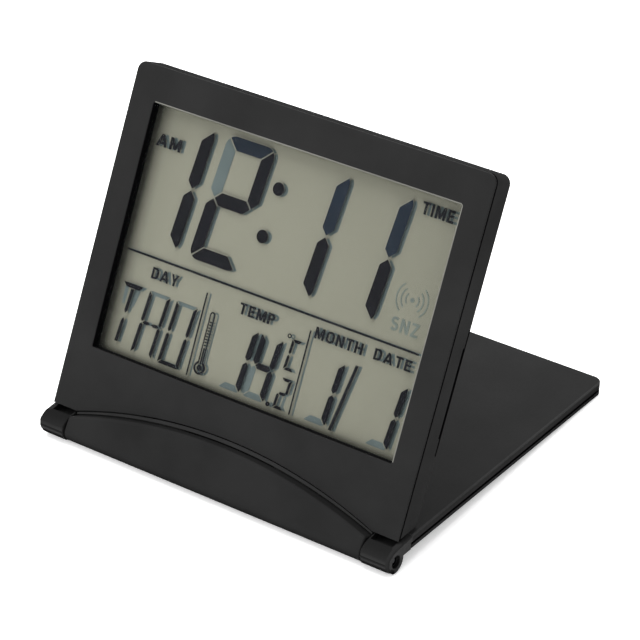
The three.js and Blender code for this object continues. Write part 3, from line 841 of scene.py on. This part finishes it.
def cover_plate():
    """The outer shell's plate, sloped down to the knuckles beside its curved notch."""
    plate = slab(cover_outline(0, 0), SHELL_LOW, COVER_TOP, in_cover, 0.06, 0.3)
    angle = radians(slope_start())
    y, z = HINGE_RADIUS * cos(angle), HINGE_RADIUS * sin(angle)
    over = 6.0
    section = [(y, z), (BLEND_Y, COVER_TOP), (BLEND_Y, over), (y - 3, over), (y - 3, z)]
    slope = slab(section, -FAR, FAR, along_x)
    ears = []
    for side in (-1, 1):
        outline = rectangle(*sorted((side * (EAR - 0.15), side * FAR)), -5, BLEND_Y + 0.2)
        ears.append(slab(outline, 0, over, in_cover))
    return combine(plate, "DIFFERENCE", slope, *ears)


outer_half = combine(cover_plate(), "UNION", knuckle(-1), knuckle(1))
shell = finished("cover_moulding", outer_half, COVER_BLACK, ["cover_shell"], "cover")
plate = above(BLEND_Y)
side_face = box(half=above(COVER_HALF - 0.01), y=plate, z=below(COVER_TOP - 0.3))
repaint(shell, COVER, CASE_BLACK, side_face)
# painted highlight along the cover's rounded top edge
repaint(shell, COVER, DIM_EDGE_HIGHLIGHT, box(y=plate, z=(COVER_TOP - 0.29, COVER_TOP - 0.01)))
# a brighter painted highlight along the very top of that edge
repaint(shell, COVER, BRIGHT_EDGE_HIGHLIGHT, box(y=plate, z=(COVER_TOP - 0.08, COVER_TOP - 0.002)))
# painted shade in the seam under the shell's plate
repaint(shell, COVER, SHADE_BLACK, box(y=plate, z=below(SHELL_LOW + 0.05)))
within_knuckle = (EAR + 0.2, COVER_HALF - 1.2)
pocket_radius = 2.72  # a knuckle's faces nearer the axis than this are in its pocket
# painted shade in the knuckles' pockets and on their back walls
hollow = box(half=within_knuckle, y=(-0.12, 4.95), reach=below(pocket_radius))
repaint(shell, COVER, SHADE_BLACK, hollow, box(half=within_knuckle, y=(4.89, 4.91)))
end = COVER_HALF - 0.75
front = box(half=(EAR + 0.05, end), y=below(2.4), reach=above(pocket_radius))
# painted light and shade on the knuckles' fronts
repaint(shell, COVER, KNUCKLE, front)
repaint(shell, COVER, HOOD_BLACK, box(half=above(end), y=below(BLEND_Y), reach=above(1.6)))
panel = slab(cover_outline(0.05, BLEND_Y), COVER_LOW, SHELL_LOW - 0.6, in_cover, 0.12, 0.06)
lining = finished("cover_lining", panel, LINING_AND_SHADE_BLACK, ["cover_panel"], "cover")
# painted shade on the lining's top, in the seam under the shell
repaint(lining, COVER, SHADE_BLACK, box(z=above(SHELL_LOW - 0.65)))

# ------ the display


def leaning(points, x, z):
    """Points drawn round the middle of a digit, placed and leaned to the right."""
    return [(x + u + SLANT * v, z + v) for u, v in points]


def digit(x, z, width, height, bar, corner, gap, names):
    """The named segments of a seven-segment digit, a to g, as polygons."""
    w, h = width / 2 + gap / 2, height / 2 + gap / 2
    t = bar + gap
    inner_w, inner_h, half = w - t, h - t, t / 2
    arc = turn_points(w - corner, h - corner, corner, 0, 45, 4)
    arc_top = turn_points(w - corner, h - corner, corner, 45, 90, 4)
    top = [(inner_w, inner_h), *arc_top, *[(-u, v) for u, v in arc_top[::-1]], (-inner_w, inner_h)]
    right = [(w - half, 0), (w, half), *arc, (inner_w, inner_h), (inner_w, half)]
    middle = [(-w + half, 0), (-inner_w, -half), (inner_w, -half)]
    middle += [(-u, -v) for u, v in middle]
    shapes = {
        "a": top,
        "b": right,
        "c": [(u, -v) for u, v in right],
        "d": [(u, -v) for u, v in top],
        "e": [(-u, -v) for u, v in right],
        "f": [(-u, v) for u, v in right],
        "g": middle,
    }
    return [leaning(shrunk(shapes[name], gap / 2), x, z) for name in names]


def marks(name, polygons, level, material, thickness=0.04):
    """Thin flat marks on one plane of the display."""
    bm = bmesh.new()
    for number, polygon in enumerate(polygons):
        near = level - 0.002 * (number % 7)  # overlapping strokes stay separate solids
        front = [bm.verts.new((x, near, z)) for x, z in polygon]
        back = [bm.verts.new((x, near + thickness, z)) for x, z in polygon]
        bm.faces.new(front)
        bm.faces.new(back[::-1])
        for i in range(len(polygon)):
            j = (i + 1) % len(polygon)
            bm.faces.new((front[i], back[i], back[j], front[j]))
    bmesh.ops.recalc_face_normals(bm, faces=bm.faces)
    finished(f"display_{name}", bm, material)


def strip(path, width):
    """A narrow band along an open path."""
    left, right = [], []
    for i, point in enumerate(path):
        before = Vector(path[max(i - 1, 0)])
        after = Vector(path[min(i + 1, len(path) - 1)])
        along = (after - before).normalized()
        side = Vector((-along.y, along.x)) * width / 2
        left.append((point[0] + side.x, point[1] + side.y))
        right.append((point[0] - side.x, point[1] - side.y))
    return left + right[::-1]


def leg(bottom, top, low=0.0, high=1.0):
    """A letter's straight stroke, cut level at both ends."""
    half = STROKE / 2
    return [(bottom - half, low), (bottom + half, low), (top + half, high), (top - half, high)]


def bar(left, right, middle):
    return rectangle(left, right, middle - STROKE / 2, middle + STROKE / 2)


STROKE = 0.19  # of the letters' height
HEAD, FOOT = 1 - STROKE / 2, STROKE / 2
STEM = leg(0.085, 0.085)
LETTERS = {  # each letter's width and strokes, for a height of 1
    "A": (0.76, [leg(0.085, 0.38), leg(0.675, 0.38), bar(0.18, 0.58, 0.28)]),
    "D": (0.62, [STEM, strip([(0.085, HEAD), (0.3, HEAD), *turn_points(0.29, 0.67, 0.245, 75, 0, 5),
                        *turn_points(0.29, 0.33, 0.245, 0, -75, 5), (0.3, FOOT), (0.085, FOOT)], STROKE)]),
    "E": (0.54, [STEM, bar(0.1, 0.54, HEAD), bar(0.1, 0.5, 0.52), bar(0.1, 0.54, FOOT)]),
    "H": (0.66, [STEM, leg(0.575, 0.575), bar(0.1, 0.56, 0.52)]),
    "I": (0.17, [STEM]),
    "M": (0.8, [STEM, leg(0.715, 0.715), leg(0.4, 0.1, 0.08), leg(0.4, 0.7, 0.08)]),
    "N": (0.66, [STEM, leg(0.575, 0.575), leg(0.575, 0.085)]),
    "O": (0.7, [strip([*turn_points(0.35, 0.65, 0.265, 0, 180, 10),
                       *turn_points(0.35, 0.35, 0.265, 180, 360, 10), (0.615, 0.66)], STROKE)]),
    "P": (0.58, [STEM, strip([(0.085, HEAD), (0.3, HEAD), *turn_points(0.29, 0.7, 0.21, 75, -75, 8),
                        (0.3, 0.49), (0.085, 0.49)], STROKE)]),
    "S": (0.58, [strip(turn_points(0.29, 0.705, 0.21, 30, 265, 12)
                       + turn_points(0.29, 0.295, 0.21, 85, -150, 12), STROKE)]),
    "T": (0.62, [leg(0.31, 0.31), bar(0, 0.62, HEAD)]),
    "Y": (0.68, [leg(0.34, 0.34, 0, 0.5), leg(0.34, 0.085, 0.4), leg(0.34, 0.595, 0.4)]),
    "Z": (0.58, [leg(0.09, 0.49, 0.1, 0.9), bar(0, 0.58, HEAD), bar(0, 0.58, FOOT)]),
}


def word(text, left, right, low, high):
    """A word's strokes as polygons, fitted to a box."""
    space = 0.19
    total = sum(LETTERS[letter][0] for letter in text) + space * (len(text) - 1)
    start, strokes = 0.0, []
    for letter in text:
        width, shapes = LETTERS[letter]
        for shape in shapes:
            stroke = []
            for u, v in shape:
                x = left + (start + u) / total * (right - left)
                stroke.append((x, low + v * (high - low)))
            strokes.append(stroke)
        start += width + space
    return strokes


BIG = dict(z=DIGIT_Z, width=12.2, height=27.0, bar=2.85, corner=2.5, gap=0.3)
SMALL = dict(z=SMALL_Z, width=5.4, height=13.8, bar=1.32, corner=1.0, gap=0.22)
ALPHA = dict(z=SMALL_Z, width=5.4, height=13.8, bar=0.8, corner=0.4, gap=0.2)
TINY = dict(width=2.5, height=6.6, bar=0.62, corner=0.3, gap=0.16)

HOUR, TEN, UNIT = -14.4, 4.35, 19.52  # middles of three of the large digits
DAY_FIRST, DAY_SECOND, DAY_THIRD = -33.35, -26.4, -19.35  # and of the day's three letters


def digits(style, *places):
    """Segments of several digits of one style, each given by its middle and segment names."""
    return [segment for x, names in places for segment in digit(x, names=names, **style)]


lit = digits(BIG, (-29.55, "bc"), (HOUR, "bged"), (TEN, "c"), (UNIT, "c"))
blue = digits(BIG, (HOUR, "a"), (TEN, "b"), (UNIT, "b"))
lit += [circle(-4.5, 62.4, 1.4, 40), circle(-5.4, 52.1, 1.4, 40)]
framed = lit + blue
lit += digits(SMALL, (-3.52, "bc"), (2.62, "fbgc"), (17.93, "bc"), (33.03, "bc"))
lit += digits(ALPHA, (DAY_SECOND, "fbec"), (DAY_THIRD, "fbecd"))
lit += digit(8.6, z=22.9, names="abged", **TINY)
lit += digit(8.75, z=31.1, names="afed", **TINY)
lit += [circle(5.85, 19.9, 0.5, 24)]

ghosts = digits(BIG, (HOUR, "f"))
ghosts += digits(SMALL, (-3.52, "d"), (2.62, "ed"), (17.93, "d"), (33.03, "d"))
ghosts += digits(ALPHA, (DAY_SECOND, "a"), (DAY_THIRD, "a"))
ghosts += digit(8.6, z=22.9, names="c", **TINY)


def letter_marks(x):
    """Extra bars of the day's letters: a split middle bar, centre bars and diagonals."""
    w, h, t = ALPHA["width"] / 2, ALPHA["height"] / 2, ALPHA["bar"] / 2
    side = w - t - 0.15
    thick = t * 0.95
    half_bar = [(0.15, 0), (0.75, thick), (side - 0.65, thick), (side, 0)]
    half_bar += [(side - 0.65, -thick), (0.75, -thick)]
    centre = [(-t, h - 2.2 * t - 0.2), (-t, 1.1), (0, 0.5), (t, 1.1), (t, h - 2.2 * t - 0.2)]
    diagonal = [(t + 0.5, 2.3), (t + 1.15, 2.3), (side - 0.1, h - 2.3 * t), (side - 1.05, h - 2.3 * t)]
    shapes = {
        "left": [(-u, v) for u, v in half_bar],
        "right": half_bar,
        "upper": centre,
        "lower": [(u, -v) for u, v in centre],
        "rise": diagonal,
        "fall": [(-u, v) for u, v in diagonal],
    }
    return {name: leaning(points, x, SMALL_Z) for name, points in shapes.items()}


first = letter_marks(DAY_FIRST)
second = letter_marks(DAY_SECOND)
top = ALPHA["height"] / 2
head = [(-2.65, top), (-1.7, top - 0.95), (1.7, top - 0.95), (2.5, top)]
lit += [leaning(head, DAY_FIRST, SMALL_Z)]
lit += [first["upper"], first["lower"], second["left"], second["right"]]
ghosts += [first["rise"], first["fall"]]

prints = [  # the rules between the display's fields, and the date's slash
    rectangle(-36.5, 36.45, 40.0, 40.44),
    rectangle(-14.94, -14.6, 19.4, 37.2),
    rectangle(11.16, 11.5, 19.4, 37.3),
    [(20.98, 19.45), (21.76, 19.45), (24.1, 33.85), (23.4, 33.85)],
]

THERMOMETER_X = -12.15
BULB_Z = 21.75


def tube_path(radius, half, top):
    """Half of the thermometer's outline, from the middle of its top down to its bulb's foot."""
    join = sqrt(radius * radius - half * half)
    start = degrees(atan2(join, half))
    upper = turn_points(THERMOMETER_X, top - half, half, 90, 0, 8)
    lower = turn_points(THERMOMETER_X, BULB_Z, radius, start, -90, 14)
    return upper + lower


half_tube = tube_path(1.42, 0.66, 33.8) + tube_path(0.96, 0.38, 33.5)[::-1]
prints += [half_tube, [(2 * THERMOMETER_X - x, z) for x, z in half_tube]]
prints += [circle(THERMOMETER_X, BULB_Z, 0.62, 24), rectangle(-12.33, -11.97, 22.55, 26.0)]
for tick in range(9):
    prints.append(rectangle(-12.45, -11.93, 26.5 + tick * 0.62, 26.75 + tick * 0.62))
DEGREE_X, DEGREE_Z = 6.85, 34.75
half_ring = turn_points(DEGREE_X, DEGREE_Z, 0.5, 0, 180, 10)
half_ring += turn_points(DEGREE_X, DEGREE_Z, 0.26, 180, 0, 10)
prints += [half_ring, [(x, 2 * DEGREE_Z - z) for x, z in half_ring]]

ALARM_X, ALARM_Z = 31.9, 50.1
faint = [circle(ALARM_X, ALARM_Z, 0.5, 24)]
for side in (-1, 1):
    for radius, spread in ((1.5, 42), (2.55, 48), (3.65, 50)):
        path = turn_points(ALARM_X, ALARM_Z, radius, -spread, spread, 14)
        faint.append(strip([(ALARM_X + side * (x - ALARM_X), z) for x, z in path], 0.3))

LABELS = [  # text, left, right, low, high
    ("AM", -36.2, -29.95, 62.85, 65.5),
    ("TIME", 28.6, 36.1, 67.0, 69.6),
    ("DAY", -29.2, -22.4, 35.95, 38.4),
    ("TEMP", -6.3, 2.5, 35.45, 37.8),
    ("MONTH", 12.45, 23.95, 36.1, 38.5),
    ("DATE", 26.75, 35.6, 36.25, 38.6),
]
labels = [stroke for label in LABELS for stroke in word(*label)]
faint += word("SNZ", 28.6, 35.1, 43.1, 45.95)

SHADOW_SHIFT = (0.62, 0.0)  # of the shadows that the marks throw on the field
BEHIND_SHIFT = (-0.26, -0.08)  # lines marks on the field up with those nearer the window
HALO_SHIFT = (-0.08, 0.05)
GHOST_Y = PANEL_Y - 0.05
SHADOW_Y = PANEL_Y - 0.03


def shifted(polygons, shift):
    return [[(x + shift[0], z + shift[1]) for x, z in polygon] for polygon in polygons]


halo = shifted([shrunk(polygon, -0.1) for polygon in framed], HALO_SHIFT)
marks("segments", lit, MARK_Y, LIT)
marks("blue_segments", blue, MARK_Y, BLUE)
marks("segment_edges", halo, MARK_Y + 0.06, HALO)
marks("faint_segments", shifted(ghosts, BEHIND_SHIFT), GHOST_Y, GHOST, 0.03)
marks("rules_and_icons", prints, MARK_Y, PRINT)
marks("faintest_marks", shifted(faint, BEHIND_SHIFT), GHOST_Y, FAINT, 0.03)
marks("labels", labels, MARK_Y, PRINT)
for name, polygons in (("segment", lit + blue), ("rule", prints), ("label", labels)):
    marks(f"{name}_shadows", shifted(polygons, SHADOW_SHIFT), SHADOW_Y, SHADOW, 0.02)

cell = slab(rectangle(-38.9, 38.9, 17.1, 72.0), PANEL_Y, 3.6, in_clock, 0.05, 0.05)
layers = ["lcd_front_polariser", "lcd_front_glass", "lcd_rear_glass", "lcd_reflector"]
finished("display_cell", cell, PANEL, layers)

# a frame behind the lens, painted near black as the shade deep in the window's recess
shade_frame = slab(rectangle(-39.4, 39.4, 16.8, 72.3), 1.99, PANEL_Y - 0.04, in_clock)
opening = soft_rectangle(-WINDOW_HALF, WINDOW_HALF, WINDOW_BOTTOM, WINDOW_TOP, 0.3)
shade_frame = combine(shade_frame, "DIFFERENCE", slab(opening, 1, 3, in_clock))
finished("display_shade_frame", shade_frame, SHADE_BLACK)
lens = slab(soft_rectangle(-39.8, 39.8, 16.4, 72.6, 0.5), 1.45, 1.95, in_clock, 0.08, 0.08)
finished("window_lens", lens, LENS, ["lens_window"])

# ------ pieces worked from the back

ARROW_RADIUS = 8.6


def battery_door():
    """The round door with its skirt, two tabs, a coin slot and two turning arrows."""
    skirt_front, plate_front = 4.85, 5.65
    profile = [(DOOR_RADIUS, plate_front), (DOOR_RADIUS, BACK_Y - 0.25)]
    profile += [(DOOR_RADIUS - 0.08, BACK_Y - 0.08), (DOOR_RADIUS - 0.25, BACK_Y)]
    plate = lathe(0, CELL_Z, profile, 96)
    skirt = combine(
        lathe(0, CELL_Z, [(DOOR_RADIUS, skirt_front), (DOOR_RADIUS, plate_front + 0.15)], 96),
        "DIFFERENCE",
        lathe(0, CELL_Z, [(10.7, 4.0), (10.7, plate_front)], 96),
    )
    tabs = []
    for angle in (0, 180):
        shape = sector(0, CELL_Z, TAB_RADIUS, angle, 30)
        tab = slab(shape, skirt_front, 5.15, in_clock, 0.05, 0.05)
        tabs.append(combine(tab, "DIFFERENCE", lathe(0, CELL_Z, [(11.2, 4.0), (11.2, 6.5)])))
    whole = combine(plate, "UNION", skirt, *tabs)
    coin = []
    for level, grow in ((-0.35, 0.0), (-0.08, 0.0), (0.12, 0.2), (1, 0.2)):
        half, rise = 7 + grow, 0.9 + grow
        outline = soft_rectangle(-half, half, CELL_Z - rise, CELL_Z + rise, 0.85 + grow, 8)
        coin.append((BACK_Y + level, outline))
    arrows = []
    for turn in (50, 230):  # where each arrow starts, in degrees
        shaft_end = turn + 52
        tip, foot = radians(turn + 60), radians(shaft_end)
        head = []
        for radius, angle in ((ARROW_RADIUS, tip), (ARROW_RADIUS + 0.8, foot), (ARROW_RADIUS - 0.8, foot)):
            head.append((radius * cos(angle), CELL_Z + radius * sin(angle)))
        for outline in (strip(turn_points(0, CELL_Z, ARROW_RADIUS, turn, shaft_end, 14), 0.5), head):
            arrows.append(slab(outline, BACK_Y - 0.15, BACK_Y + 1, in_clock))
    return combine(whole, "DIFFERENCE", layered(coin, in_clock), *arrows)


finished("battery_cap", battery_door(), DOOR_LOOK, ["battery_door"], "battery_door")


def button(x):
    """A round button with a wide foot, a rounded edge and a slightly hollow top."""
    top, edge = BACK_Y + 0.6, 0.35
    foot_radius, foot_front, foot_back = 3.6, 4.92, 5.15
    profile = [(foot_radius, foot_front), (foot_radius, foot_back), (BUTTON_RADIUS, foot_back)]
    profile.append((BUTTON_RADIUS, top - edge))
    for step in range(1, 6):
        angle = radians(18 * step)
        radius = BUTTON_RADIUS - edge * (1 - cos(angle))
        profile.append((radius, top - edge + edge * sin(angle)))
    for step in range(1, 6):
        share = step / 5
        radius = (BUTTON_RADIUS - edge) * (1 - share) + 0.05
        profile.append((radius, top - 0.22 * sin(share * pi / 2)))
    return lathe(x, BUTTON_Z, profile, 56)


for name, x in BUTTON_PLACES.items():
    node = f"button_{name}"
    finished(f"{name}_button_cap", button(x), BUTTON_LOOK, [node], node)


def screw(x, z):
    """A pan-head screw with a cross recess."""
    front, back = BACK_Y - 0.5, BACK_Y - 0.05
    profile = [(0.8, 1.9), (0.8, front), (1.8, front), (1.8, back - 0.15)]
    profile += [(1.7, back - 0.05), (1.45, back)]
    recess = []
    for half_x, half_z in ((0.95, 0.19), (0.19, 0.95)):
        tapered = []
        for level, share in ((BACK_Y - 0.36, 0.75), (back + 0.01, 1.0), (BACK_Y + 0.5, 1.0)):
            wide, tall = half_x * share, half_z * share
            tapered.append((level, rectangle(x - wide, x + wide, z - tall, z + tall)))
        recess.append(layered(tapered, in_clock))
    return combine(lathe(x, z, profile, 40), "DIFFERENCE", *recess)


for name, (x, z) in SCREW_PLACES.items():
    finished(f"screw_{name}", screw(x, z), SCREW_STEEL, [f"case_screw_{name}"])

PIN_PROFILE = [  # radius, and distance from the middle of the clock
    (PIN_RADIUS - 0.15, 33.2),
    (PIN_RADIUS, 33.35),
    (PIN_RADIUS, PIN_OUTER - 0.9),
    (PIN_RADIUS - 0.25, PIN_OUTER - 0.75),
    (PIN_RADIUS - 0.45, PIN_OUTER - 0.75),
    (PIN_RADIUS - 0.5, PIN_OUTER - 0.3),
    (PIN_RADIUS - 0.6, PIN_OUTER - 0.2),
]
for name, side in (("left", -1), ("right", 1)):
    pin = spindle([(radius, side * x) for radius, x in PIN_PROFILE], 40)
    finished(f"pin_{name}", pin, SHADED_PIN_STEEL, [f"hinge_pin_{name}"])

# ------ inner pieces that keep their CAD shape


def board_look():
    look = Look("circuit_board", 0.45)
    weave = look.noise(0.5, 2, 0.5, (1, 0.2, 1))
    look.colour(look.ramp(weave, [(0.4, linear((18, 66, 38))), (0.6, linear((30, 88, 52)))]))
    look.bump(look.noise(0.8, 3), 0.02)
    return look.material


INNER_LOOKS = {
    "lcd_frame": DARK,
    "contact_strip": plastic("silicone_strip", (196, 140, 150), 0.7, 0.4, 0.01),
    "circuit_board": board_look(),
    "chip_cap": plastic("black_epoxy", (16, 16, 17), 0.35, 1.2, 0.02),
    "crystal": metal("nickel_plate", (190, 186, 172), 0.3, (1, 0.2, 1)),
    "temperature_sensor": plastic("thermistor_ceramic", (120, 96, 60), 0.5, 0.2, 0.01),
    "filter_capacitor": plastic("ceramic", (176, 160, 128), 0.5, 0.2, 0.01),
    "buzzer_disc": metal("brass_sheet", (196, 164, 92), 0.32),
    "coin_cell": metal("cell_steel", (186, 188, 190), 0.26, (1, 0.3, 1)),
}
INNER_LOOKS["battery_contact_negative"] = INNER_LOOKS["crystal"]
INNER_LOOKS["battery_contact_positive"] = INNER_LOOKS["crystal"]
for name in BUTTON_PLACES:
    INNER_LOOKS[f"switch_dome_{name}"] = INNER_LOOKS["coin_cell"]
for name, material in INNER_LOOKS.items():
    node = frame["nodes"][name]
    if node.material_slots:
        for slot in node.material_slots:
            slot.link = "OBJECT"
            slot.material = material
    else:
        node.data.materials.append(material)

# ------ floor, light and camera


WHITE = (1.0, 1.0, 1.0, 1.0)


def floor_look():
    look = Look("paper_floor", 0.9, 0.1)
    tones = [(0.3, linear(249)), (0.7, linear(251))]
    look.colour(look.ramp(look.noise(60, 3), tones))
    put(look.shader, Emission_Color=WHITE, Emission_Strength=0.35)  # keeps the shadow pale
    return look.material


floor_mesh = bmesh.new()
bmesh.ops.create_grid(floor_mesh, x_segments=8, y_segments=8, size=3.0)
floor = added("floor", mesh_of(floor_mesh, "floor"))
floor.data.materials.append(floor_look())
floor.location.z = -0.00002  # just under the object, in metres

world = bpy.data.worlds.new("studio")
scene.world = world
world.use_nodes = True
# A white backdrop for the eye; as a source of light it is dimmer, most of all on the right.
nodes = world.node_tree.nodes
backdrop = nodes["Background"]
put(backdrop, Color=WHITE)
direction = nodes.new("ShaderNodeTexCoord")
split = nodes.new("ShaderNodeSeparateXYZ")
dim = nodes.new("ShaderNodeMapRange")
put(dim, From_Min=-1.0, From_Max=1.0, To_Min=1.2, To_Max=0.7)
seen = nodes.new("ShaderNodeLightPath")
level = nodes.new("ShaderNodeMapRange")
put(level, To_Max=1.05)
for source, target in (
    (direction.outputs["Generated"], split.inputs["Vector"]),
    (split.outputs["X"], dim.inputs["Value"]),
    (dim.outputs["Result"], level.inputs["To Min"]),
    (seen.outputs["Is Camera Ray"], level.inputs["Value"]),
    (level.outputs["Result"], backdrop.inputs["Strength"]),
):
    world.node_tree.links.new(source, target)


def softbox(name, place, aim, width, height, power):
    data = bpy.data.lights.new(name, "AREA")
    data.shape = "RECTANGLE"
    data.size, data.size_y = width, height
    data.energy = power
    lamp = added(name, data)
    lamp.location = place
    lamp.rotation_euler = (Vector(aim) - Vector(place)).to_track_quat("-Z", "Y").to_euler()


low, high = cad_bounds
middle = tuple((a + b) / 2 for a, b in zip(low, high))
softbox("key", (-1.32, -1.12, 0.88), middle, 0.6, 0.6, 12.0)
softbox("top", (-0.3, 0.15, 1.6), middle, 1.6, 0.8, 28.0)

# The camera stands where the photograph was taken from, in the cover's frame.
EYE = Vector((295.93, -394.66, 322.7))
AZIMUTH, ELEVATION, ROLL = radians(34.444), radians(29.828), radians(1.366)
FOCAL_PIXELS, IMAGE_PIXELS = 2867.3, 640
SENSOR_MM = 36
flat = cos(ELEVATION)  # the level part of the viewing direction
back = Vector((sin(AZIMUTH) * flat, -cos(AZIMUTH) * flat, sin(ELEVATION)))
right = Vector((cos(AZIMUTH), sin(AZIMUTH), 0))
up = back.cross(right)
rolled_right = right * cos(ROLL) + up * sin(ROLL)
rolled_up = up * cos(ROLL) - right * sin(ROLL)
turn = COVER.to_3x3() @ Matrix((rolled_right, rolled_up, back)).transposed() * 1000
optics = bpy.data.cameras.new("camera")
optics.sensor_width = SENSOR_MM
optics.lens = FOCAL_PIXELS / IMAGE_PIXELS * SENSOR_MM
optics.clip_start, optics.clip_end = 0.01, 20
camera = added("camera", optics)
camera.matrix_world = Matrix.Translation(COVER @ EYE) @ turn.to_4x4()
bpy.context.scene.camera = camera

scene.view_settings.view_transform = "Standard"
scene.view_settings.look = "None"
